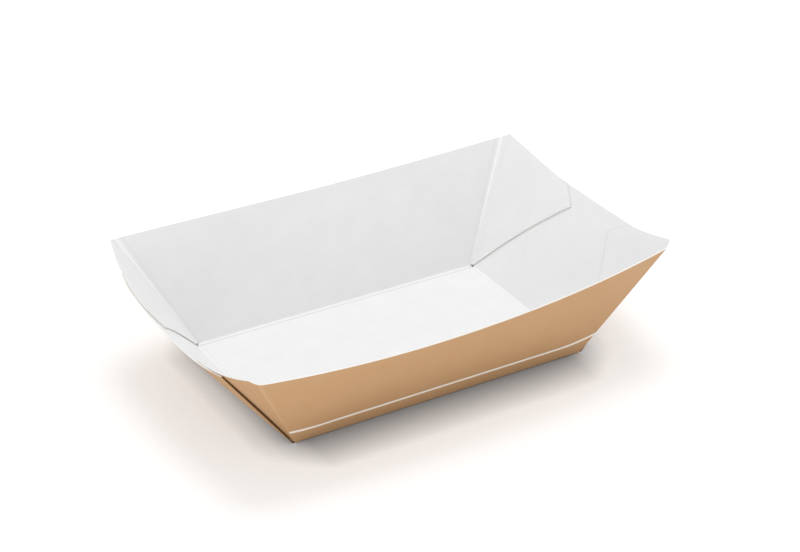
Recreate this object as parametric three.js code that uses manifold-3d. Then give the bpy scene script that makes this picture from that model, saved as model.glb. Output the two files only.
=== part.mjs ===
// Paper food tray, folded and glued from one blank of coated board.
// Millimetres, +Z up, origin under the middle of the base, long side along X.

import * as THREE from 'three';
import { mergeVertices } from 'three/addons/utils/BufferGeometryUtils.js';
import Module from 'manifold-3d';

const wasm = await Module();
wasm.setup();

// Board and base
const board = 0.45;
const baseLength = 110;
const baseWidth = 65.2;
const foldRadius = 0.4;

// Long walls: heights along the slanted board, leans from the vertical
const rimLength = 154.2;
const cornerSlant = 42.1;
const middleSlant = 40.5;
const cornerLean = THREE.MathUtils.degToRad(21.2);
const middleLean = THREE.MathUtils.degToRad(28.4);
const wallBend = 2.1;

// The tray was glued a little askew: two opposite corners lean more, the other two less
const rack = THREE.MathUtils.degToRad(3.5);

// End walls: how far the rim bows out and dips between the corners, and the width of the
// panel at the rim. Its cut side edges stand a little off the flaps halfway up.
const endBow = 5.9;
const endDip = 6.4;
const endBend = 2.8;
const endPanelTop = 66.7;
const sideEdgeLift = 0.36;

// Glue flaps, measured from the corner fold: along the rim, and at the foot of their cut.
// The back wall's flaps reach further in than the front wall's.
const flapReach = { front: 27.3, back: 33.2 };
const flapFootReach = { front: 32.5, back: 38.2 };
const flapCut = 6;
const flapEdgeBend = 0.91;
const flapTip = 2.9;
const flapTipRise = 2.9;
const flapStart = 1.8;

// Corner folds open out from a sharp point at the base to a soft bend at the rim
const cornerSoftBase = 0.3;
const cornerSoftRim = 1.6;

// Glue between each flap and its end wall, as heights along the wall
const glueFilm = 0.1;
const glueMargin = 2.2;
const glueFrom = 20;
const glueTo = 38;

// Steps of the faceted surface
const wallSteps = 22;
const endSteps = 16;
const foldSteps = 4;
const cornerSteps = 4;
const flapSteps = 10;
const glueSteps = 6;

const meanEndLean = Math.atan2(
  (rimLength - baseLength) / 2 + endBow,
  cornerSlant * Math.cos(cornerLean) - endDip,
);
const flapInset = (board + glueFilm) / Math.cos(meanEndLean);
const wallHalf = baseLength / 2 - flapInset;
const rimHalf = rimLength / 2;
const longFoldMargin = foldRadius * Math.tan((Math.PI / 2 - middleLean) / 2);
const endFoldMargin = foldRadius * Math.tan((Math.PI / 2 - meanEndLean) / 2);

// Rim corner where side sy meets end sx; the corner folds run down from here
function rimCorner(sx, sy) {
  const lean = cornerLean + rack * sx * sy;
  return new THREE.Vector3(
    sx * rimHalf,
    sy * (baseWidth / 2 + cornerSlant * Math.sin(lean)),
    board + cornerSlant * Math.cos(lean),
  );
}

// Across an end s runs from -1 to 1 between its corner folds, and v from 0 at the base to
// 1 at the rim; these turn the flaps' and the panel's sizes into s and v
const endSlant = rimCorner(1, 1).distanceTo(new THREE.Vector3(wallHalf, baseWidth / 2, board));
const endHalf = rimCorner(1, 1).distanceTo(rimCorner(1, -1)) / 2;
const footLevel = 1 - flapCut / endSlant;
const footHalf = THREE.MathUtils.lerp(baseWidth / 2, endHalf, footLevel);
const tipPlace = 1 - flapTip / endHalf;
const tipLevel = 1 + flapTipRise / endSlant;
const panelTop = endPanelTop / 2 / endHalf;

const sideName = (sy) => (sy < 0 ? 'front' : 'back');
const flapTopPlace = (sy) => 1 - flapReach[sideName(sy)] / endHalf;
const flapFootPlace = (sy) => 1 - flapFootReach[sideName(sy)] / footHalf;

// Each wall stays flat over its straight fold and bends along lines that fan out from the
// base corners. The bent share is 0 on the line from a base corner to the rim's middle and
// 1 on the corner fold.
function bentShare(along, up, ratio) {
  const a = Math.abs(along);
  const share = a - ((1 - a) * (1 - up) / Math.max(up, 1e-6)) * ratio;
  return Math.max(share, 0);
}

// Inner face of the long wall on side sy: t runs from -1 to 1 along it, v from 0 at the
// base to 1 at the rim
function longWall(sy, t, v) {
  const share = bentShare(t, v, wallHalf / rimHalf);
  const lean = middleLean + (cornerLean - middleLean) * share ** wallBend
    + rack * Math.sign(t) * sy * share;
  const slant = middleSlant + (cornerSlant - middleSlant) * t * t;
  return new THREE.Vector3(
    t * (wallHalf + (rimHalf - wallHalf) * v),
    sy * (baseWidth / 2 + v * slant * Math.sin(lean)),
    board + v * slant * Math.cos(lean),
  );
}

// Inner face of the flaps at end sx; the end wall lies behind it by the shift
function endSurface(sx, s, v, shift = 0) {
  const flat = 1 - bentShare(s, Math.min(v, 1), baseWidth / 2 / endHalf) ** endBend;
  const rim = rimCorner(sx, -1).lerp(rimCorner(sx, 1), (1 + s) / 2);
  rim.x += sx * endBow * flat;
  rim.z -= endDip * flat;
  const fold = new THREE.Vector3(sx * wallHalf, s * baseWidth / 2, board);
  const point = fold.lerp(rim, v);
  point.x += sx * shift;
  return point;
}

// Point at u on the soft bend from a to b around the sharp corner c
function softBend(a, c, b, u) {
  return new THREE.QuadraticBezierCurve3(a, c, b).getPoint(u);
}

const levels = [0.12, 0.28, 0.46, 0.64, 0.78, footLevel, 1];
const flapLevels = [flapStart / endSlant, ...levels];
const wallLevels = [longFoldMargin / middleSlant, ...flapLevels];
const endLevels = [endFoldMargin / endSlant, ...flapLevels];

function cornerSoft(v) {
  return cornerSoftBase + (cornerSoftRim - cornerSoftBase) * v;
}

// The flap's free edge at level v: the long lower edge from the base corner to the foot of
// the cut, then the cut up to the rim
function flapEdge(sy, v) {
  const foot = flapFootPlace(sy);
  if (v <= footLevel) return 1 - (1 - foot) * (v / footLevel) ** flapEdgeBend;
  return foot + (flapTopPlace(sy) - foot) * (v - footLevel) / (1 - footLevel);
}

// The flap's top edge: it goes on past the corner fold to a tip and falls from there
function flapTopLevel(sy, s) {
  const top = flapTopPlace(sy);
  if (s > tipPlace) return 1 + (tipLevel - 1) * (1 - s) / (1 - tipPlace);
  return 1 + (tipLevel - 1) * (s - top) / (tipPlace - top);
}

function flapPoint(sx, sy, c, v) {
  const start = 1 - cornerSoft(v) / endHalf;
  const topStart = 1 - cornerSoft(1) / endHalf;
  const s = start + (flapEdge(sy, v) - start) * c;
  const topS = topStart + (flapTopPlace(sy) - topStart) * c;
  return endSurface(sx, sy * s, v * flapTopLevel(sy, topS));
}

// Points of a corner fold at level v, from the wall side (u = 0) to the flap side (u = 1)
function cornerPoint(sx, sy, u, v) {
  const onWall = longWall(sy, sx * (1 - cornerSoft(v) / rimHalf), v);
  const onFlap = flapPoint(sx, sy, 0, v);
  return softBend(onWall, longWall(sy, sx, v), onFlap, u);
}

const even = (count) => Array.from({ length: count + 1 }, (_, i) => i / count);
const crowded = (count) => even(count).map((x) => Math.sin((x - 0.5) * Math.PI));

// A patch is a list of corner coordinates, three points to a triangle
function addTriangle(patch, ...points) {
  for (const p of points) patch.push(p.x, p.y, p.z);
}

// Rows of points become quads whose front is the tray's inside; flip turns them over
function addGrid(patch, rows, flip) {
  for (let i = 0; i + 1 < rows.length; i += 1) {
    for (let j = 0; j + 1 < rows[i].length; j += 1) {
      const [a, b, c, d] = [rows[i][j], rows[i][j + 1], rows[i + 1][j + 1], rows[i + 1][j]];
      addTriangle(patch, a, ...(flip ? [c, b] : [b, c]));
      addTriangle(patch, a, ...(flip ? [d, c] : [c, d]));
    }
  }
}

// One line of points up a long wall, from the flat base over the fold to the rim. A station
// is a place t along the wall proper, or a place u in the wall's half of a corner fold.
const wallEnd = 1 - cornerSoftRim / rimHalf;

function wallColumn(sy, { t, sx, u }) {
  const inCorner = u !== undefined;
  const foldPlace = inCorner ? sx * (1 - (1 - 2 * u) * cornerSoftBase / rimHalf) : t;
  const at = (v) => {
    if (inCorner) return cornerPoint(sx, sy, u, v);
    return longWall(sy, t * (1 - cornerSoft(v) / rimHalf) / wallEnd, v);
  };
  const fold = new THREE.Vector3(foldPlace * wallHalf, sy * baseWidth / 2, board);
  const onBase = new THREE.Vector3(fold.x, sy * (baseWidth / 2 - longFoldMargin), board);
  const bend = even(foldSteps).map((x) => softBend(onBase, fold, at(wallLevels[0]), x));
  return [...bend, ...wallLevels.slice(1).map(at)];
}

function addLongWall(patch, sy) {
  const halfCorner = even(cornerSteps / 2).slice(1).map((x) => x / 2);
  const stations = [
    ...halfCorner.map((u) => ({ sx: -1, u })).reverse(),
    ...crowded(wallSteps).map((x) => ({ t: x * wallEnd })),
    ...halfCorner.map((u) => ({ sx: 1, u })),
  ];
  const rows = stations.map((station) => wallColumn(sy, station));
  addGrid(patch, rows, sy > 0);
  return rows.map((row) => row[0]);
}

// A flap with its half of the corner fold, one row for each level; a column lies on the tip
function addFlap(patch, sx, sy) {
  const softEnd = 1 - cornerSoftRim / endHalf;
  const tipColumn = (softEnd - tipPlace) / (softEnd - flapTopPlace(sy));
  const columns = [0, ...even(flapSteps).map((x) => tipColumn + (1 - tipColumn) * x)];
  const halfCorner = even(cornerSteps / 2).map((x) => 0.5 + x / 2).slice(0, -1);
  const rows = flapLevels.map((v) => [
    ...halfCorner.map((u) => cornerPoint(sx, sy, u, v)),
    ...columns.map((c) => flapPoint(sx, sy, c, v)),
  ]);
  addGrid(patch, rows, sx * sy < 0);
}

// Inner face of an end wall: across runs from -1 to 1 between its cut side edges, which
// start at the base corners and meet the rim at the panel's narrower top
function endPanel(sx, across, v) {
  const s = across * (1 + (panelTop - 1) * v);
  const lift = sideEdgeLift * 4 * v * (1 - v) * across ** 6;
  return endSurface(sx, s, v, flapInset + lift);
}

function addEndWall(patch, sx) {
  const rows = crowded(endSteps).map((across) => {
    const fold = new THREE.Vector3(sx * baseLength / 2, across * baseWidth / 2, board);
    const onBase = new THREE.Vector3(
      sx * (baseLength / 2 - endFoldMargin),
      across * (baseWidth / 2 - longFoldMargin),
      board,
    );
    const first = endPanel(sx, across, endLevels[0]);
    const bend = even(foldSteps).map((x) => softBend(onBase, fold, first, x));
    return [...bend, ...endLevels.slice(1).map((v) => endPanel(sx, across, v))];
  });
  addGrid(patch, rows, sx < 0);
  return rows.map((row) => row[0]);
}

// The flat base fills the outline that the four folds leave
function addBase(patch, front, right, back, left) {
  const outline = [...front, ...right, ...back.reverse(), ...left.reverse()];
  const flat = outline.map((p) => new THREE.Vector2(p.x, p.y));
  for (const [a, b, c] of THREE.ShapeUtils.triangulateShape(flat, [])) {
    addTriangle(patch, outline[a], outline[b], outline[c]);
  }
}

// A patch of inner faces gets a thickness on its outer side, with a cut edge all round
function thicken(patch, thickness) {
  const loose = new THREE.BufferGeometry();
  loose.setAttribute('position', new THREE.Float32BufferAttribute(patch, 3));
  const inner = mergeVertices(loose, 1e-4);
  inner.computeVertexNormals();
  const at = inner.getAttribute('position');
  const normal = inner.getAttribute('normal');
  const faces = Array.from(inner.index.array);
  const points = Array.from(at.array);
  for (let i = 0; i < at.count; i += 1) {
    points.push(at.getX(i) - normal.getX(i) * thickness);
    points.push(at.getY(i) - normal.getY(i) * thickness);
    points.push(at.getZ(i) - normal.getZ(i) * thickness);
  }
  const cutEdges = new Map();
  const solid = [];
  for (let f = 0; f < faces.length; f += 3) {
    const [a, b, c] = faces.slice(f, f + 3);
    solid.push(a, b, c, a + at.count, c + at.count, b + at.count);
    for (const [from, to] of [[a, b], [b, c], [c, a]]) {
      if (!cutEdges.delete(`${to},${from}`)) cutEdges.set(`${from},${to}`, [from, to]);
    }
  }
  for (const [from, to] of cutEdges.values()) {
    solid.push(from, from + at.count, to + at.count, from, to + at.count, to);
  }
  return new wasm.Manifold(new wasm.Mesh({
    numProp: 3,
    vertProperties: Float32Array.from(points),
    triVerts: Uint32Array.from(solid),
  }));
}

// A film of glue between a flap and the end wall behind it, sunk halfway into both
function glue(sx, sy) {
  const margin = glueMargin / endHalf;
  const rows = even(glueSteps).map((x) => {
    const v = THREE.MathUtils.lerp(glueFrom, glueTo, x) / endSlant;
    const nearFlapEdge = flapEdge(sy, v) + margin;
    const nearPanelEdge = 1 + (panelTop - 1) * v - 2 * margin;
    return even(glueSteps).map((y) => {
      const s = THREE.MathUtils.lerp(nearFlapEdge, nearPanelEdge, y);
      return endSurface(sx, sy * s, v, flapInset / 2);
    });
  });
  const patch = [];
  addGrid(patch, rows, sx * sy < 0);
  return thicken(patch, glueFilm + board);
}

function toGeometry(solid) {
  const mesh = solid.getMesh();
  const geometry = new THREE.BufferGeometry();
  const points = Float32Array.from(mesh.vertProperties);
  geometry.setAttribute('position', new THREE.BufferAttribute(points, 3));
  geometry.setIndex(new THREE.BufferAttribute(Uint32Array.from(mesh.triVerts), 1));
  return geometry;
}

function foldedTray() {
  const patch = [];
  const front = addLongWall(patch, -1);
  const back = addLongWall(patch, 1);
  const right = addEndWall(patch, 1);
  const left = addEndWall(patch, -1);
  addBase(patch, front, right, back, left);
  const corners = [[-1, -1], [1, -1], [1, 1], [-1, 1]];
  for (const [sx, sy] of corners) addFlap(patch, sx, sy);
  let solid = thicken(patch, board);
  for (const [sx, sy] of corners) solid = solid.add(glue(sx, sy));
  return toGeometry(solid);
}

const printedBoard = new THREE.MeshStandardMaterial({
  color: '#c8a077',
  roughness: 0.7,
  metalness: 0,
});
const tray = new THREE.Mesh(foldedTray(), printedBoard);
tray.name = 'tray';

const group = new THREE.Group();
group.add(tray);

export default group;
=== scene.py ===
import math

import bmesh
import bpy
import numpy as np
from mathutils import Matrix, Vector


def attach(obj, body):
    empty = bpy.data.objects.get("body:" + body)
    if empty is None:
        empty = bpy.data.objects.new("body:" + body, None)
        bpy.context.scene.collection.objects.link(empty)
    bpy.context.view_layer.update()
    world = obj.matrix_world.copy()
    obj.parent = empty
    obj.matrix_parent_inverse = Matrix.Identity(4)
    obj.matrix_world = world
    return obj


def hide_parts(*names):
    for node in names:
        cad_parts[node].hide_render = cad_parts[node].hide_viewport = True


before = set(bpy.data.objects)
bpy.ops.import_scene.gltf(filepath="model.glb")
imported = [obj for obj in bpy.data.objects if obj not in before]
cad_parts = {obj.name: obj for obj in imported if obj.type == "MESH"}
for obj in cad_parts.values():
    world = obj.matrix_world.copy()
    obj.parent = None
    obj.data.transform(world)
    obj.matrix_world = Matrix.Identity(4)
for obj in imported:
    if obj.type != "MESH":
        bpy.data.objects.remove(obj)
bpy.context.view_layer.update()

print("frame loaded:", ", ".join(sorted(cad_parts)))

mm = 0.001  # metres

# The tray's sizes in millimetres, degrees and shares, as in the solid down to glueFilm
tray = {
    "board": 0.45,
    "baseLength": 110.0,
    "baseWidth": 65.2,
    "foldRadius": 0.4,
    "rimLength": 154.2,
    "cornerSlant": 42.1,
    "middleSlant": 40.5,
    "cornerLean": 21.2,
    "middleLean": 28.4,
    "wallBend": 2.1,
    "rack": 3.5,  # two opposite corners lean more, the other two less
    "endBow": 5.9,
    "endDip": 6.4,
    "endBend": 2.8,
    "endPanelTop": 66.7,
    "sideEdgeLift": 0.36,
    "sideEdgePower": 6,
    "flapReachFront": 27.3,
    "flapReachBack": 33.2,
    "flapFootReachFront": 32.5,
    "flapFootReachBack": 38.2,
    "flapCut": 6.0,
    "flapEdgeBend": 0.91,
    "flapTip": 2.9,
    "flapTipRise": 2.9,
    "flapStart": 0.75,  # the solid's flaps start higher up, with a bigger notch
    "cornerSoftBase": 0.3,
    "cornerSoftRim": 1.6,
    "glueFilm": 0.1,
    # Creases are pressed in before folding and leave a small bead on the inside
    "beadHeight": 0.12,
    "endBeadHeight": 0.07,
    "beadWidth": 0.34,
    "beadEnd": 0.8,  # how far before the base corner a bead ends, and over how long it fades
    "beadFade": 1.2,
    "cornerHighlight": 0.17,  # half width of a corner fold's painted highlight line, as a share of the soft bend
    # How fine the surfaces are
    "wallSteps": 84,
    "endSteps": 44,
    "foldSteps": 10,
    "cornerSteps": 8,
    "flapSteps": 30,
    "flapLastStep": 0.988,
    "joinWithin": 0.004,
    "sharpFrom": 50,
}


def degrees(value):
    return math.radians(tray[value])


rimHalf = tray["rimLength"] / 2
baseHalf = tray["baseWidth"] / 2
meanEndLean = math.atan2(
    rimHalf - tray["baseLength"] / 2 + tray["endBow"],
    tray["cornerSlant"] * math.cos(degrees("cornerLean")) - tray["endDip"],
)
flapInset = (tray["board"] + tray["glueFilm"]) / math.cos(meanEndLean)
wallHalf = tray["baseLength"] / 2 - flapInset
longMargin = tray["foldRadius"] * math.tan((math.pi / 2 - degrees("middleLean")) / 2)
endMargin = tray["foldRadius"] * math.tan((math.pi / 2 - meanEndLean) / 2)


def point(x, y, z):
    # One array of points from three arrays or numbers
    return np.stack(np.broadcast_arrays(x, y, z), axis=-1).astype(float)


def rimCorner(sx, sy):
    # Up the corner fold from the base corner, leaning outwards, a little more at two corners
    lean = degrees("cornerLean") + degrees("rack") * sx * sy
    slant = tray["cornerSlant"]
    return np.array([
        sx * rimHalf,
        sy * (baseHalf + slant * math.sin(lean)),
        tray["board"] + slant * math.cos(lean),
    ])


endSlant = np.linalg.norm(rimCorner(1, 1) - np.array([wallHalf, baseHalf, tray["board"]]))
endHalf = np.linalg.norm(rimCorner(1, 1) - rimCorner(1, -1)) / 2
footLevel = 1 - tray["flapCut"] / endSlant
footHalf = baseHalf + (endHalf - baseHalf) * footLevel
tipPlace = 1 - tray["flapTip"] / endHalf
tipLevel = 1 + tray["flapTipRise"] / endSlant
panelTop = tray["endPanelTop"] / 2 / endHalf


def flapTopPlace(sy):
    return 1 - tray["flapReachFront" if sy < 0 else "flapReachBack"] / endHalf


def flapFootPlace(sy):
    return 1 - tray["flapFootReachFront" if sy < 0 else "flapFootReachBack"] / footHalf


def bentShare(along, up, ratio):
    # 0 over the flat triangle on the straight fold, rising to 1 on the corner fold, along
    # lines that fan out from the base corner
    a = np.abs(along)
    return np.maximum(a - (1 - a) * (1 - up) / np.maximum(up, 1e-6) * ratio, 0)


def longWall(sy, t, v):
    # Up the board by v times its slanted height, leaning less as the bent share rises
    t, v = np.broadcast_arrays(np.asarray(t, float), np.asarray(v, float))
    share = bentShare(t, v, wallHalf / rimHalf)
    lean = (
        degrees("middleLean")
        + (degrees("cornerLean") - degrees("middleLean")) * share ** tray["wallBend"]
        + degrees("rack") * np.sign(t) * sy * share
    )
    slant = tray["middleSlant"] + (tray["cornerSlant"] - tray["middleSlant"]) * t * t
    return point(
        t * (wallHalf + (rimHalf - wallHalf) * v),
        sy * (baseHalf + v * slant * np.sin(lean)),
        tray["board"] + v * slant * np.cos(lean),
    )


def endSurface(sx, s, v, shift=0.0):
    # Straight from the fold line to the rim; the rim bows out and dips between the corners
    s, v, shift = np.broadcast_arrays(np.asarray(s, float), np.asarray(v, float), shift)
    flat = 1 - bentShare(s, np.minimum(v, 1), baseHalf / endHalf) ** tray["endBend"]
    front, back = rimCorner(sx, -1), rimCorner(sx, 1)
    rim = front + (back - front) * ((1 + s) / 2)[..., None]
    rim[..., 0] += sx * tray["endBow"] * flat
    rim[..., 2] -= tray["endDip"] * flat
    fold = point(sx * wallHalf, s * baseHalf, tray["board"])
    surface = fold + (rim - fold) * v[..., None]
    surface[..., 0] += sx * shift
    return surface


def softBend(a, c, b, u):
    # Quadratic curve from a to b that is drawn towards the sharp corner c
    u = np.asarray(u, float)[..., None]
    return a * (1 - u) ** 2 + c * 2 * u * (1 - u) + b * u ** 2


def cornerSoft(v):
    return tray["cornerSoftBase"] + (tray["cornerSoftRim"] - tray["cornerSoftBase"]) * v


def flapEdge(sy, v):
    # The free edge: a long lower edge from the base corner, then the cut up to the rim
    foot, top = flapFootPlace(sy), flapTopPlace(sy)
    lower = 1 - (1 - foot) * (np.minimum(v, footLevel) / footLevel) ** tray["flapEdgeBend"]
    cut = foot + (top - foot) * (v - footLevel) / (1 - footLevel)
    return np.where(v <= footLevel, lower, cut)


def flapTopLevel(sy, s):
    # The top edge rises to a tip just past the corner fold and falls from there
    top = flapTopPlace(sy)
    rising = 1 + (tipLevel - 1) * (1 - s) / (1 - tipPlace)
    return np.where(s > tipPlace, rising, 1 + (tipLevel - 1) * (s - top) / (tipPlace - top))


def flapPoint(sx, sy, c, v):
    start = 1 - cornerSoft(v) / endHalf
    topStart = 1 - cornerSoft(1) / endHalf
    s = start + (flapEdge(sy, v) - start) * c
    topS = topStart + (flapTopPlace(sy) - topStart) * c
    return endSurface(sx, sy * s, v * flapTopLevel(sy, topS))


def cornerPoint(sx, sy, u, v):
    # Across a corner fold, from the wall side at 0 to the flap side at 1
    onWall = longWall(sy, sx * (1 - cornerSoft(v) / rimHalf), v)
    return softBend(onWall, longWall(sy, sx, v), flapPoint(sx, sy, 0.0, v), u)


def bead(distance, height):
    # Smooth ridge of a crease, by distance from its middle
    return height * np.exp(-(distance / tray["beadWidth"]) ** 2)


def cornerFade(along, reach):
    # A crease's bead dies away shortly before the base corner
    return np.clip((reach - tray["beadEnd"] - np.abs(along)) / tray["beadFade"], 0, 1)


def longAway(sy):
    # The bead stands on the bisector between the base and the wall
    half = degrees("middleLean") / 2 + math.pi / 4
    return np.array([0, -sy * math.cos(half), math.sin(half)])


def endAway(sx):
    # The same for the end walls
    half = meanEndLean / 2 + math.pi / 4
    return np.array([-sx * math.cos(half), 0, math.sin(half)])


# Light and dark painted along the creases: places and widths are millimetres from the crease
paintedLightAndShade = {
    "ridgeAt": 0.1,
    "dipAt": -0.8,
    "width": 0.34,
    "endStrength": 0.7,
    "endDip": 0.4,
    "cornerFrom": 0.3,  # how high up a corner fold its painted highlight line starts
    "besideAt": 0.9,  # a faint painted shade line runs beside each corner fold
    "besideWidth": 0.5,
    "besideShade": 0.22,
    "besideFrom": 0.6,
    "flapSpan": 30,  # every flap counts as this wide
    # Painted shade lines on the flaps: one along the free edge, a fainter one just past the corner
    # fold
    "flapEdgeShadeWidth": 0.3,
    "flapFoldAt": 0.8,
    "flapFoldWidth": 0.4,
    "flapFoldShade": 0.2,
}

# Each group of faces has its own strip of the flat blank, in millimetres; the long walls
# are at 0 and above, and the lower values tell one strip from the next
strips = {
    "flaps": 100,
    "ends": 200,
    "base": 300,
    "flapsFrom": 90,
    "endsFrom": 190,
    "baseFrom": 260,
    "gap": 0.8,  # how wide the painted shade strip beside the end walls' cut sides is
    "slack": 0.01,
}

# Material slots of the board's faces
insideSlot, wallSlot, plainSlot, edgeSlot, shadedSlot = range(5)


def creaseLightAndShade(height, strength=1.0):
    # How strong the painted highlight on the ridge and the painted shade in the dip beside it are,
    # by height above the fold line
    return (
        strength * np.exp(-((height - paintedLightAndShade["ridgeAt"]) / paintedLightAndShade["width"]) ** 2),
        strength * np.exp(-((height - paintedLightAndShade["dipAt"]) / paintedLightAndShade["width"]) ** 2),
    )


# Levels up the walls, close together beside the fold and at the rim
nearFold = np.array([0.12, 0.25, 0.4, 0.58, 0.8, 1.1, 1.5])
upLevels = np.array([
    0.075, 0.11, 0.155, 0.205, 0.26, 0.32, 0.38, 0.44, 0.5, 0.56, 0.62, 0.68, 0.74, 0.8,
])
levels = np.concatenate([upLevels, [footLevel, (footLevel + 1) / 2, 0.985, 1.0]])
wallLevels = np.concatenate([(longMargin + nearFold) / tray["middleSlant"], levels])
wallLevels = np.unique(np.round(wallLevels, 7))
endLevels = np.unique(np.round(np.concatenate([(endMargin + nearFold) / endSlant, levels]), 7))
flapLevels = wallLevels[wallLevels * tray["middleSlant"] > tray["flapStart"]]


def crowded(count):
    # Steps from -1 to 1 that lie closer together towards both ends
    return np.sin((np.arange(count + 1) / count - 0.5) * math.pi)


def withLines(places, extra):
    # Adds lines on both sides of the middle
    return np.unique(np.round(np.concatenate([places, extra, -extra]), 7))


softFold = 1 - tray["cornerSoftBase"] / rimHalf
baseEdge = tray["baseLength"] / 2 - endMargin
foldPlaces = withLines(
    crowded(tray["wallSteps"]), (baseEdge - nearFold[-2:]) / (softFold * wallHalf)
)
acrossPlaces = withLines(crowded(tray["endSteps"]), 1 - nearFold / (baseHalf - longMargin))
foldU = np.arange(tray["foldSteps"] + 1) / tray["foldSteps"]
halfU = np.arange(tray["cornerSteps"] + 1) / tray["cornerSteps"] / 2


class Patches:
    # Grids of inner faces with a place on the flat blank for each corner
    def __init__(self):
        self.points, self.faces, self.flats, self.kinds, self.count = [], [], [], [], 0

    def add(self, grid, flat, kind, flip):
        rows, columns = grid.shape[:2]
        at = self.count + np.arange(rows * columns).reshape(rows, columns)
        quads = np.stack([at[:-1, :-1], at[:-1, 1:], at[1:, 1:], at[1:, :-1]], -1).reshape(-1, 4)
        if flip:
            quads = quads[:, ::-1]
        self.points.append(grid.reshape(-1, 3))
        self.flats.append(flat.reshape(-1, 4))
        self.faces.append(quads)
        self.kinds.append(np.full(len(quads), kind))
        self.count += rows * columns


def wallColumns(sy, at, foldX):
    # Points from the flat base over the fold and up to the rim, one row for each column
    first = at(np.array([longMargin / tray["middleSlant"]]))[:, 0]
    fold = point(foldX, sy * baseHalf, tray["board"])
    onBase = point(foldX, sy * (baseHalf - longMargin), tray["board"])
    bend = softBend(onBase[:, None], fold[:, None], first[:, None], foldU[None, :])
    rest = at(wallLevels)
    heights = np.concatenate([(foldU - 0.5) * 2 * longMargin, wallLevels * tray["middleSlant"]])
    grid = np.concatenate([bend, rest], axis=1)
    ridge = bead(heights, tray["beadHeight"])[None, :] * cornerFade(foldX, wallHalf)[:, None]
    grid += ridge[..., None] * longAway(sy)
    return grid, heights


def addLongWall(patches, sy):
    soft = 1 - softFold

    def flatPlaces(xs, heights, band):
        light, dark = creaseLightAndShade(heights)
        # A faint painted shade line beside each corner fold
        beside = np.clip((1 - np.abs(xs) / wallHalf) * rimHalf, 0, None)
        away = np.exp(-((beside[:, None] - paintedLightAndShade["besideAt"]) / paintedLightAndShade["besideWidth"]) ** 2)
        away = away * paintedLightAndShade["besideShade"] * (heights[None, :] > paintedLightAndShade["besideFrom"])
        light = np.maximum(light[None, :], band[:, None] * (heights[None, :] > paintedLightAndShade["cornerFrom"]))
        # The true height on the blank, because the wall is higher at its ends
        taller = 1 + (tray["cornerSlant"] / tray["middleSlant"] - 1) * (xs / wallHalf) ** 2
        return np.stack(np.broadcast_arrays(
            xs[:, None], heights[None, :] * taller[:, None], light,
            np.maximum(dark[None, :], away)), -1)

    grid, heights = wallColumns(
        sy,
        lambda v: longWall(
            sy, foldPlaces[:, None] * (1 - cornerSoft(v) / rimHalf)[None, :], v[None, :],
        ),
        foldPlaces * (1 - soft) * wallHalf,
    )
    noBand = np.zeros(len(foldPlaces))
    patches.add(grid, flatPlaces(foldPlaces * wallHalf, heights, noBand), wallSlot, sy > 0)
    for sx in (-1, 1):
        u = halfU[::-1] if sx < 0 else halfU
        grid, heights = wallColumns(
            sy,
            lambda v: cornerPoint(sx, sy, u[:, None], v[None, :]),
            sx * (1 - (1 - 2 * u) * soft) * wallHalf,
        )
        # The corner fold's painted highlight band
        band = np.exp(-((u - 0.5) / tray["cornerHighlight"]) ** 2)
        flat = flatPlaces(np.full(len(u), sx * wallHalf), heights, band)
        patches.add(grid, flat, wallSlot, sy > 0)


def addFlap(patches, sx, sy):
    softEnd = 1 - tray["cornerSoftRim"] / endHalf
    tipColumn = (softEnd - tipPlace) / (softEnd - flapTopPlace(sy))
    spread = tipColumn + (1 - tipColumn) * np.arange(1, tray["flapSteps"] + 1) / tray["flapSteps"]
    last = [tray["flapLastStep"], 1]
    columns = np.concatenate([[0, tipColumn / 2, tipColumn], spread[:-1], last])
    corner = cornerPoint(sx, sy, 1 - halfU[None, ::-1], flapLevels[:, None])
    flap = flapPoint(sx, sy, columns[None, :], flapLevels[:, None])
    grid = np.concatenate([corner[:, :-1], flap], axis=1)
    across = np.concatenate([np.zeros(len(halfU) - 1), columns * paintedLightAndShade["flapSpan"]])
    # The corner fold's painted highlight band
    band = np.exp(-((0.5 - halfU[:0:-1]) / tray["cornerHighlight"]) ** 2)
    light = np.concatenate([band, columns * 0])
    # A painted shade line along the free edge and a fainter one just past the corner fold
    dark = np.exp(-((paintedLightAndShade["flapSpan"] - across) / paintedLightAndShade["flapEdgeShadeWidth"]) ** 2)
    dark = dark + paintedLightAndShade["flapFoldShade"] * np.exp(
        -((across - paintedLightAndShade["flapFoldAt"]) / paintedLightAndShade["flapFoldWidth"]) ** 2
    )
    flat = np.stack(np.broadcast_arrays(
        across[None, :], strips["flaps"] + flapLevels[:, None] * endSlant, light[None, :],
        dark[None, :]), -1)
    patches.add(grid, flat, plainSlot, sx * sy < 0)


def endPanel(sx, across, v):
    # Behind the flaps, narrower towards the rim, its cut side edges standing off halfway up
    s = across * (1 + (panelTop - 1) * v)
    lift = tray["sideEdgeLift"] * 4 * v * (1 - v) * across ** tray["sideEdgePower"]
    return endSurface(sx, s, v, flapInset + lift)


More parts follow.
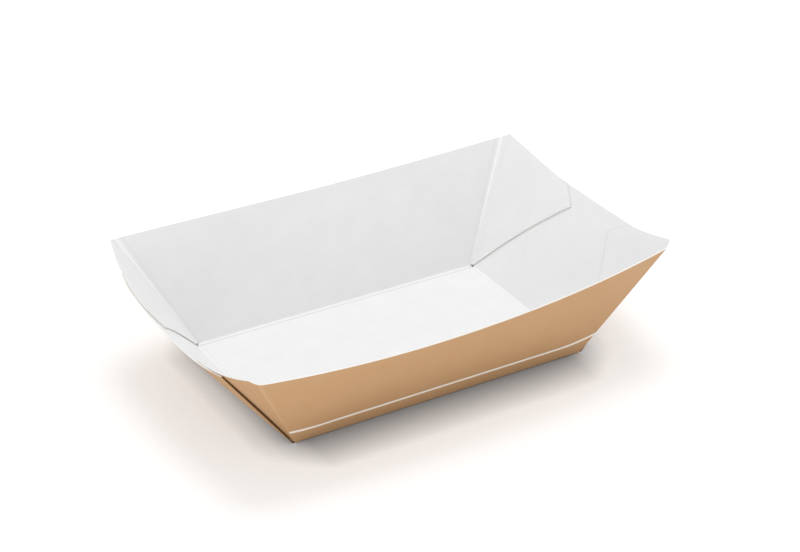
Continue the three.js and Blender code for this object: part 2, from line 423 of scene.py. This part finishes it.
def addEndWall(patches, sx):
    fold = point(sx * tray["baseLength"] / 2, acrossPlaces * baseHalf, tray["board"])
    onBase = point(
        sx * (tray["baseLength"] / 2 - endMargin),
        acrossPlaces * (baseHalf - longMargin),
        tray["board"],
    )
    first = endPanel(sx, acrossPlaces, np.full(len(acrossPlaces), endMargin / endSlant))
    bend = softBend(onBase[:, None], fold[:, None], first[:, None], foldU[None, :])
    rest = endPanel(sx, acrossPlaces[:, None], endLevels[None, :])
    heights = np.concatenate([(foldU - 0.5) * 2 * endMargin, endLevels * endSlant])
    grid = np.concatenate([bend, rest], axis=1)
    fade = cornerFade(onBase[:, 1], baseHalf)
    ridge = bead(heights, tray["endBeadHeight"])[None, :] * fade[:, None]
    grid += ridge[..., None] * endAway(sx)
    light, dark = creaseLightAndShade(heights, paintedLightAndShade["endStrength"])
    flat = np.stack(np.broadcast_arrays(
        acrossPlaces[:, None] * baseHalf, strips["ends"] + heights[None, :], light[None, :],
        dark[None, :] * paintedLightAndShade["endDip"]), -1)
    patches.add(grid, flat, plainSlot, sx < 0)


def addBase(patches):
    corners = (1 - (1 - 2 * halfU[1:]) * (1 - softFold)) * wallHalf
    outer = baseEdge - np.concatenate([[0], nearFold[:3]])
    xs = withLines(foldPlaces * softFold * wallHalf, np.concatenate([corners, outer]))
    ys = acrossPlaces * (baseHalf - longMargin)
    grid = point(xs[:, None], ys[None, :], tray["board"])
    longRidge = (
        bead(np.abs(ys) - baseHalf, tray["beadHeight"])[None, :]
        * cornerFade(xs, wallHalf)[:, None]
    )
    endRidge = (
        bead(np.abs(xs) - tray["baseLength"] / 2, tray["endBeadHeight"])[:, None]
        * cornerFade(ys, baseHalf)[None, :]
    )
    for side in (-1, 1):
        grid += (longRidge * (side * ys[None, :] > 0))[..., None] * longAway(side)
        grid += (endRidge * (side * xs[:, None] > 0))[..., None] * endAway(side)
    longLight, longDark = creaseLightAndShade(np.abs(ys) - baseHalf)
    endLight, endDark = creaseLightAndShade(np.abs(xs) - tray["baseLength"] / 2, paintedLightAndShade["endStrength"])
    flat = np.stack(np.broadcast_arrays(
        xs[:, None], strips["base"] + ys[None, :],
        np.maximum(longLight[None, :], endLight[:, None]),
        np.maximum(longDark[None, :], endDark[:, None] * paintedLightAndShade["endDip"])), -1)
    patches.add(grid, flat, plainSlot, True)


def thicken(inner, faces, flats, kinds, normals):
    # The outer face lies one board thickness behind the inner one, and every free border
    # gets a cut edge between the two
    count = len(inner)
    points = np.concatenate([inner, inner - normals * tray["board"]])
    outer = faces[:, ::-1] + count
    starts, ends = faces.ravel(), np.roll(faces, -1, axis=1).ravel()
    key = starts * np.int64(count) + ends
    opposite = ends * np.int64(count) + starts
    free = ~np.isin(key, opposite)
    print("board thickened, border edges:", int(free.sum()))
    a, b = starts[free], ends[free]
    border = np.stack([b, a, a + count, b + count], -1)
    flatA, flatB = flats.reshape(-1, 4)[free], np.roll(flats, -1, axis=1).reshape(-1, 4)[free]
    borderFlat = np.stack([flatB, flatA, flatA, flatB], 1)
    # The end walls' cut sides and the notches at the base corners show no pale edge in the
    # photograph, so they take the shaded brown instead
    # This shaded brown is painted shade, a dark copy of the cut edge's material
    low, high = np.minimum(flatA[:, 1], flatB[:, 1]), np.maximum(flatA[:, 1], flatB[:, 1])
    wide = np.minimum(abs(flatA[:, 0]), abs(flatB[:, 0]))
    flapsFrom, endsFrom, baseFrom = (strips[k] * mm for k in ("flapsFrom", "endsFrom", "baseFrom"))
    start = (tray["flapStart"] + strips["slack"]) * mm
    shaded = (low > baseFrom) | ((low > endsFrom) & (wide > (baseHalf - strips["slack"]) * mm))
    shaded |= (high < start) | ((low > flapsFrom) & (high < strips["flaps"] * mm + start))
    # The strip beside those sides lies behind a flap and shows only as a dark gap, so it takes the
    # same painted shade
    middle = flats[:, :, :2].mean(axis=1)
    behind = (middle[:, 1] > endsFrom) & (middle[:, 1] < baseFrom)
    behind &= abs(middle[:, 0]) > (baseHalf - strips["gap"]) * mm
    return (
        points,
        np.concatenate([faces, outer, border]),
        np.concatenate([flats, flats[:, ::-1], borderFlat]),
        np.concatenate([
            np.where(behind, shadedSlot, insideSlot), kinds, np.where(shaded, shadedSlot, edgeSlot),
        ]),
    )


def makeMesh(name, points, faces, flats, kinds):
    mesh = bpy.data.meshes.new(name)
    mesh.from_pydata(points, [], faces.tolist())
    mesh.polygons.foreach_set("material_index", kinds.astype(np.int32))
    # The crease layer carries the painted highlight and painted shade amounts
    for layerName, first in (("blank", 0), ("crease", 2)):
        layer = mesh.uv_layers.new(name=layerName)
        pairs = flats.reshape(-1, 4)[:, first:first + 2]
        layer.data.foreach_set("uv", np.ascontiguousarray(pairs, np.float32).ravel())
    return mesh


def foldedBoard():
    patches = Patches()
    for sy in (-1, 1):
        addLongWall(patches, sy)
    for sx in (-1, 1):
        addEndWall(patches, sx)
    addBase(patches)
    for sx, sy in ((-1, -1), (1, -1), (1, 1), (-1, 1)):
        addFlap(patches, sx, sy)
    points, faces = np.concatenate(patches.points), np.concatenate(patches.faces)
    flats = np.concatenate(patches.flats)[faces] * np.array([mm, mm, 1, 1])
    loose = makeMesh("looseFaces", points, faces, flats, np.concatenate(patches.kinds))
    joined = bmesh.new()
    joined.from_mesh(loose)
    bmesh.ops.remove_doubles(joined, verts=joined.verts, dist=tray["joinWithin"])
    joined.to_mesh(loose)
    joined.free()

    count = len(loose.vertices)
    inner, normals = np.empty(count * 3), np.empty(count * 3)
    loose.vertices.foreach_get("co", inner)
    loose.vertex_normals.foreach_get("vector", normals)
    faces = np.empty(len(loose.loops), np.int32)
    loose.loops.foreach_get("vertex_index", faces)
    flats = np.empty((2, len(loose.loops) * 2))
    for row, name in zip(flats, ("blank", "crease")):
        loose.uv_layers[name].data.foreach_get("uv", row)
    flats = np.concatenate([row.reshape(-1, 2) for row in flats], axis=1)
    kinds = np.empty(len(loose.polygons), np.int32)
    loose.polygons.foreach_get("material_index", kinds)
    points, faces, flats, kinds = thicken(
        inner.reshape(-1, 3), faces.reshape(-1, 4).astype(np.int64), flats.reshape(-1, 4, 4),
        kinds, normals.reshape(-1, 3),
    )
    mesh = makeMesh("trayBoard", points * mm, faces, flats, kinds)
    bpy.data.meshes.remove(loose)
    mesh.polygons.foreach_set("use_smooth", np.ones(len(mesh.polygons), bool))
    mesh.set_sharp_from_angle(angle=degrees("sharpFrom"))
    mesh.validate()
    return mesh


def linear(code):
    # sRGB hex to the linear colour that Blender's sockets take
    channels = [int(code[i:i + 2], 16) / 255 for i in (1, 3, 5)]
    return [c / 12.92 if c <= 0.04045 else ((c + 0.055) / 1.055) ** 2.4 for c in channels] + [1.0]


def newMaterial(name):
    material = bpy.data.materials.new(name)
    material.use_nodes = True
    material.node_tree.nodes.clear()
    return material


def addNode(owner, kind, settings=None, links=None):
    # Adds a node to a material or the world; settings are its properties or, by name or
    # number, its socket values, and links join its inputs to outputs of other nodes
    node = owner.node_tree.nodes.new(kind)
    for key, value in (settings or {}).items():
        if isinstance(key, str) and hasattr(node, key):
            setattr(node, key, value)
        else:
            node.inputs[key].default_value = value
    for key, output in (links or {}).items():
        owner.node_tree.links.new(output, node.inputs[key])
    return node


grain = {
    "cloudScale": 110.0,
    "fibreScale": 1400.0,
    "fibreShare": 0.45,
    "fibreHeight": 0.00004,
    "cutFineness": 1.3,
}


def paperGrain(material, fineness=1.0):
    # Two patterns of paper: soft clouds of fibre density some 9 mm across, and the fibre
    # itself, which is finer than 0.1 mm and drawn 0.7 mm wide so that it shows
    place = addNode(material, "ShaderNodeTexCoord")
    clouds = addNode(
        material, "ShaderNodeTexNoise",
        {"Scale": grain["cloudScale"], "Detail": 3.0, "Roughness": 0.55},
        {"Vector": place.outputs["Object"]},
    )
    fibre = addNode(
        material, "ShaderNodeTexNoise",
        {"Scale": grain["fibreScale"] * fineness, "Detail": 4.0, "Roughness": 0.6},
        {"Vector": place.outputs["Object"]},
    )
    mottle = addNode(
        material, "ShaderNodeMix", {"data_type": "FLOAT", 0: grain["fibreShare"]},
        {2: clouds.outputs["Fac"], 3: fibre.outputs["Fac"]},
    )
    return mottle.outputs[0], fibre.outputs["Fac"]


def finishBoard(material, colour, fibre, surface):
    bump = addNode(
        material, "ShaderNodeBump",
        {"Strength": surface["bump"], "Distance": grain["fibreHeight"]},
        {"Height": fibre},
    )
    shader = addNode(
        material, "ShaderNodeBsdfPrincipled",
        {"IOR": 1.5, "Roughness": surface["roughness"],
         "Specular IOR Level": surface["specular"]},
        {"Base Color": colour, "Normal": bump.outputs["Normal"]},
    )
    addNode(material, "ShaderNodeOutputMaterial", None, {"Surface": shader.outputs["BSDF"]})


def paintCreaseLightAndShade(material, colour, surface):
    # The ridge of a crease gets a painted highlight, the dip beside it a painted shade
    marks = addNode(material, "ShaderNodeUVMap", {"uv_map": "crease"})
    axes = addNode(material, "ShaderNodeSeparateXYZ", None, {0: marks.outputs["UV"]})
    for axis, tone, amount in (("Y", "dip", "dipAmount"), ("X", "ridge", "ridgeAmount")):
        factor = addNode(
            material, "ShaderNodeMath",
            {"operation": "MULTIPLY", "use_clamp": True, 1: surface[amount]},
            {0: axes.outputs[axis]},
        )
        mixed = addNode(
            material, "ShaderNodeMix", {"data_type": "RGBA", 7: linear(surface[tone])},
            {0: factor.outputs[0], 6: colour},
        )
        colour = mixed.outputs[2]
    return colour


coatedInside = {
    "light": "#f2f2f2",
    "dark": "#e4e4e4",
    # ridge and dip are the colours of the painted highlight and painted shade along the creases
    "ridge": "#fbfbfb",
    "ridgeAmount": 0.8,
    "dip": "#c4c4c4",
    "dipAmount": 0.5,
    "bump": 0.4,
    "roughness": 0.62,
    "specular": 0.3,
}


def claycoatedPaperboard():
    # Bleached board with a thin matt clay coat, calendered smooth: an even, soft white with
    # barely visible clouds of fibre and no gloss spots
    material = newMaterial("claycoatedPaperboard")
    mottle, fibre = paperGrain(material)
    tone = addNode(
        material, "ShaderNodeMix",
        {"data_type": "RGBA", 6: linear(coatedInside["dark"]), 7: linear(coatedInside["light"])},
        {0: mottle},
    )
    colour = paintCreaseLightAndShade(material, tone.outputs[2], coatedInside)
    finishBoard(material, colour, fibre, coatedInside)
    return material


printedOutside = {
    "ink": "#c59b6f",
    "thinInk": "#cda57b",
    # ridge and dip are the colours of the painted highlight and painted shade along the creases
    "ridge": "#d9b78f",
    "ridgeAmount": 0.35,
    "dip": "#a67f56",
    "dipAmount": 0.25,
    "line": "#fffaf0",
    "lineHeight": 7.76,
    "lineWidth": 1.3,
    "lineSoft": 0.05,
    "bump": 0.45,
    "roughness": 0.6,
    "specular": 0.3,
}


def printedPaperboard(name, hasLine):
    # Offset-printed board with a matt water varnish: a flat light brown that lets the fibre
    # through a little, and a line left unprinted near the foot of the long walls
    material = newMaterial(name)
    mottle, fibre = paperGrain(material)
    tone = addNode(
        material, "ShaderNodeMix",
        {"data_type": "RGBA", 6: linear(printedOutside["ink"]),
         7: linear(printedOutside["thinInk"])},
        {0: mottle},
    )
    colour = paintCreaseLightAndShade(material, tone.outputs[2], printedOutside)
    if hasLine:
        blank = addNode(material, "ShaderNodeUVMap", {"uv_map": "blank"})
        axes = addNode(material, "ShaderNodeSeparateXYZ", None, {0: blank.outputs["UV"]})
        away = addNode(
            material, "ShaderNodeMath",
            {"operation": "SUBTRACT", 1: printedOutside["lineHeight"] * mm},
            {0: axes.outputs["Y"]},
        )
        near = addNode(material, "ShaderNodeMath", {"operation": "ABSOLUTE"}, {0: away.outputs[0]})
        halfLine = printedOutside["lineWidth"] / 2
        inside = addNode(
            material, "ShaderNodeMapRange",
            {"From Min": (halfLine - printedOutside["lineSoft"]) * mm,
             "From Max": (halfLine + printedOutside["lineSoft"]) * mm,
             "To Min": 1.0, "To Max": 0.0},
            {"Value": near.outputs[0]},
        )
        mixed = addNode(
            material, "ShaderNodeMix",
            {"data_type": "RGBA", 7: linear(printedOutside["line"])},
            {0: inside.outputs["Result"], 6: colour},
        )
        colour = mixed.outputs[2]
    finishBoard(material, colour, fibre, printedOutside)
    return material


cutEdge = {
    "light": "#f6f5f2",
    "dark": "#e8e6e1",
    # shadedLight and shadedDark are painted shade for cut faces that lie in shadow
    "shadedLight": "#6f4f32",
    "shadedDark": "#5f4329",
    "bump": 0.5,
    "roughness": 0.85,
    "specular": 0.2,
}


def dieCutEdge(name, dark, light):
    # The raw section of the board where the die cut it: bare bleached fibre, slightly warm, or, in
    # the shaded copy, a dark brown of painted shade where the photograph shows it so
    material = newMaterial(name)
    fibre = paperGrain(material, grain["cutFineness"])[1]
    tone = addNode(
        material, "ShaderNodeMix",
        {"data_type": "RGBA", 6: linear(cutEdge[dark]), 7: linear(cutEdge[light])},
        {0: fibre},
    )
    finishBoard(material, tone.outputs[2], fibre, cutEdge)
    return material


board = bpy.data.objects.new("folded_board", foldedBoard())
bpy.context.scene.collection.objects.link(board)
board.data.materials.append(claycoatedPaperboard())
board.data.materials.append(printedPaperboard("printedPaperboardWall", True))
board.data.materials.append(printedPaperboard("printedPaperboard", False))
board.data.materials.append(dieCutEdge("dieCutEdge", "dark", "light"))
board.data.materials.append(dieCutEdge("dieCutEdgeShaded", "shadedDark", "shadedLight"))
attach(board, "root")
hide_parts("tray")
print("board folded:", len(board.data.polygons), "faces")

studio = {
    "floorHalf": 3.0,
    "floorSeen": "#cfcfcf",
    "floorLit": "#fafafa",
    "floorGlow": 0.45,  # only what the camera sees, so that the open floor is white
    "floorGlowFar": 0.6,
    "glowFrom": 0.4,
    "glowTo": 1.4,
    "frontReach": 0.016,  # how far from the long walls' feet the floor darkens, in metres
    "endReach": 0.01,  # the same beyond the end walls
    "endShade": 0.45,  # the share of the shade that is kept there
    "endFrom": 0.05,
    "endTo": 0.062,
    "shadeSamples": 12,
    "worldLight": 0.73,
    "aim": (0, 0, 0.02),
    "topSoftbox": {"place": (0.16, 0.27, 1.05), "size": 0.6, "power": 4.3},
    "frontSoftbox": {"place": (-0.42, -0.9, 0.1), "size": 0.8, "power": 2.7},
}


def paleFloor():
    half = studio["floorHalf"]
    mesh = bpy.data.meshes.new("paleFloor")
    mesh.from_pydata(
        [(-half, -half, 0), (half, -half, 0), (half, half, 0), (-half, half, 0)],
        [], [(0, 1, 2, 3)],
    )
    material = newMaterial("mattFloorCard")
    rays = addNode(material, "ShaderNodeLightPath")
    tone = addNode(
        material, "ShaderNodeMix",
        {"data_type": "RGBA", 6: linear(studio["floorLit"]), 7: linear(studio["floorSeen"])},
        {0: rays.outputs["Is Camera Ray"]},
    )
    place = addNode(material, "ShaderNodeTexCoord")
    axes = addNode(material, "ShaderNodeSeparateXYZ", None, {0: place.outputs["Object"]})
    outward = addNode(
        material, "ShaderNodeMath", {"operation": "ABSOLUTE"}, {0: axes.outputs["X"]},
    )

    def byPlace(alongWalls, beyondEnds):
        ramp = addNode(
            material, "ShaderNodeMapRange",
            {"From Min": studio["endFrom"], "From Max": studio["endTo"], "To Min": alongWalls,
             "To Max": beyondEnds},
            {"Value": outward.outputs[0]},
        )
        return ramp.outputs["Result"]

    # The shade by the feet is wide along the long walls, shorter and weaker beyond the ends
    contact = addNode(
        material, "ShaderNodeAmbientOcclusion", {"samples": studio["shadeSamples"]},
        {"Distance": byPlace(studio["frontReach"], studio["endReach"])},
    )
    kept = addNode(
        material, "ShaderNodeMix", {"data_type": "FLOAT", 2: 1.0},
        {0: byPlace(1.0, studio["endShade"]), 3: contact.outputs["AO"]},
    )
    shaded = addNode(
        material, "ShaderNodeMix", {"data_type": "RGBA", 6: (0.0, 0.0, 0.0, 1.0)},
        {0: kept.outputs[0], 7: tone.outputs[2]},
    )
    matt = addNode(material, "ShaderNodeBsdfDiffuse", None, {"Color": shaded.outputs[2]})
    # Far from the lamps the floor gets a little more, so that the horizon stays white
    reach = addNode(
        material, "ShaderNodeVectorMath", {"operation": "LENGTH"}, {0: place.outputs["Object"]},
    )
    level = addNode(
        material, "ShaderNodeMapRange",
        {"From Min": studio["glowFrom"], "From Max": studio["glowTo"],
         "To Min": studio["floorGlow"], "To Max": studio["floorGlowFar"]},
        {"Value": reach.outputs["Value"]},
    )
    glow = addNode(
        material, "ShaderNodeMath", {"operation": "MULTIPLY"},
        {0: rays.outputs["Is Camera Ray"], 1: level.outputs["Result"]},
    )
    glow = addNode(
        material, "ShaderNodeMath", {"operation": "MULTIPLY"},
        {0: glow.outputs[0], 1: kept.outputs[0]},
    )
    white = addNode(material, "ShaderNodeEmission", None, {"Strength": glow.outputs[0]})
    both = addNode(
        material, "ShaderNodeAddShader", None, {0: matt.outputs["BSDF"], 1: white.outputs[0]},
    )
    addNode(material, "ShaderNodeOutputMaterial", None, {"Surface": both.outputs[0]})
    mesh.materials.append(material)
    floor = bpy.data.objects.new("paleFloor", mesh)
    bpy.context.scene.collection.objects.link(floor)


def whiteSurround():
    world = bpy.data.worlds.new("whiteSurround")
    bpy.context.scene.world = world
    world.use_nodes = True
    world.node_tree.nodes.clear()
    # The camera sees pure white, while the light is a little weaker
    rays = addNode(world, "ShaderNodeLightPath")
    strength = addNode(
        world, "ShaderNodeMix", {2: studio["worldLight"], 3: 1.0},
        {0: rays.outputs["Is Camera Ray"]},
    )
    background = addNode(
        world, "ShaderNodeBackground", {"Color": (1, 1, 1, 1)}, {"Strength": strength.outputs[0]},
    )
    addNode(world, "ShaderNodeOutputWorld", None, {"Surface": background.outputs[0]})


def softbox(name):
    box = studio[name]
    place, target = box["place"], studio["aim"]
    lamp = bpy.data.lights.new(name, "AREA")
    lamp.shape = "DISK"
    lamp.size = box["size"]
    lamp.energy = box["power"]
    holder = bpy.data.objects.new(name, lamp)
    bpy.context.scene.collection.objects.link(holder)
    holder.location = place
    holder.rotation_euler = (Vector(target) - Vector(place)).to_track_quat("-Z", "Y").to_euler()


paleFloor()
whiteSurround()
softbox("topSoftbox")
softbox("frontSoftbox")
print("floor, surround and lamps made")

# Where the photograph was taken from: angles in degrees, lengths in millimetres, focal
# length in pixels of a picture 800 wide
shot = {
    "azimuth": -33.1811,
    "elevation": 30.0727,
    "roll": 2.1847,
    "distance": 741.085,
    "offset": (3.751, 24.373),
    "focal": 2224.34,
    "width": 800,
    "sensor": 36.0,
    "clip": (0.01, 20.0),  # metres
}


def photographersCamera():
    a, e, r = (math.radians(shot[k]) for k in ("azimuth", "elevation", "roll"))
    back = Vector((math.sin(a) * math.cos(e), -math.cos(a) * math.cos(e), math.sin(e)))
    level = (-back).cross(Vector((0, 0, 1))).normalized()
    up = level.cross(-back)
    across = level * math.cos(r) + up * math.sin(r)
    above = up * math.cos(r) - level * math.sin(r)
    aside, raised = shot["offset"]
    place = (across * aside + above * raised + back * shot["distance"]) * mm
    lens = bpy.data.cameras.new("photographersCamera")
    lens.sensor_width = shot["sensor"]
    lens.lens = shot["focal"] / shot["width"] * lens.sensor_width
    lens.clip_start, lens.clip_end = shot["clip"]
    camera = bpy.data.objects.new("photographersCamera", lens)
    bpy.context.scene.collection.objects.link(camera)
    turned = Matrix((across, above, back)).transposed().to_4x4()
    camera.matrix_world = Matrix.Translation(place) @ turned
    bpy.context.scene.camera = camera


photographersCamera()
bpy.context.scene.view_settings.view_transform = "Standard"
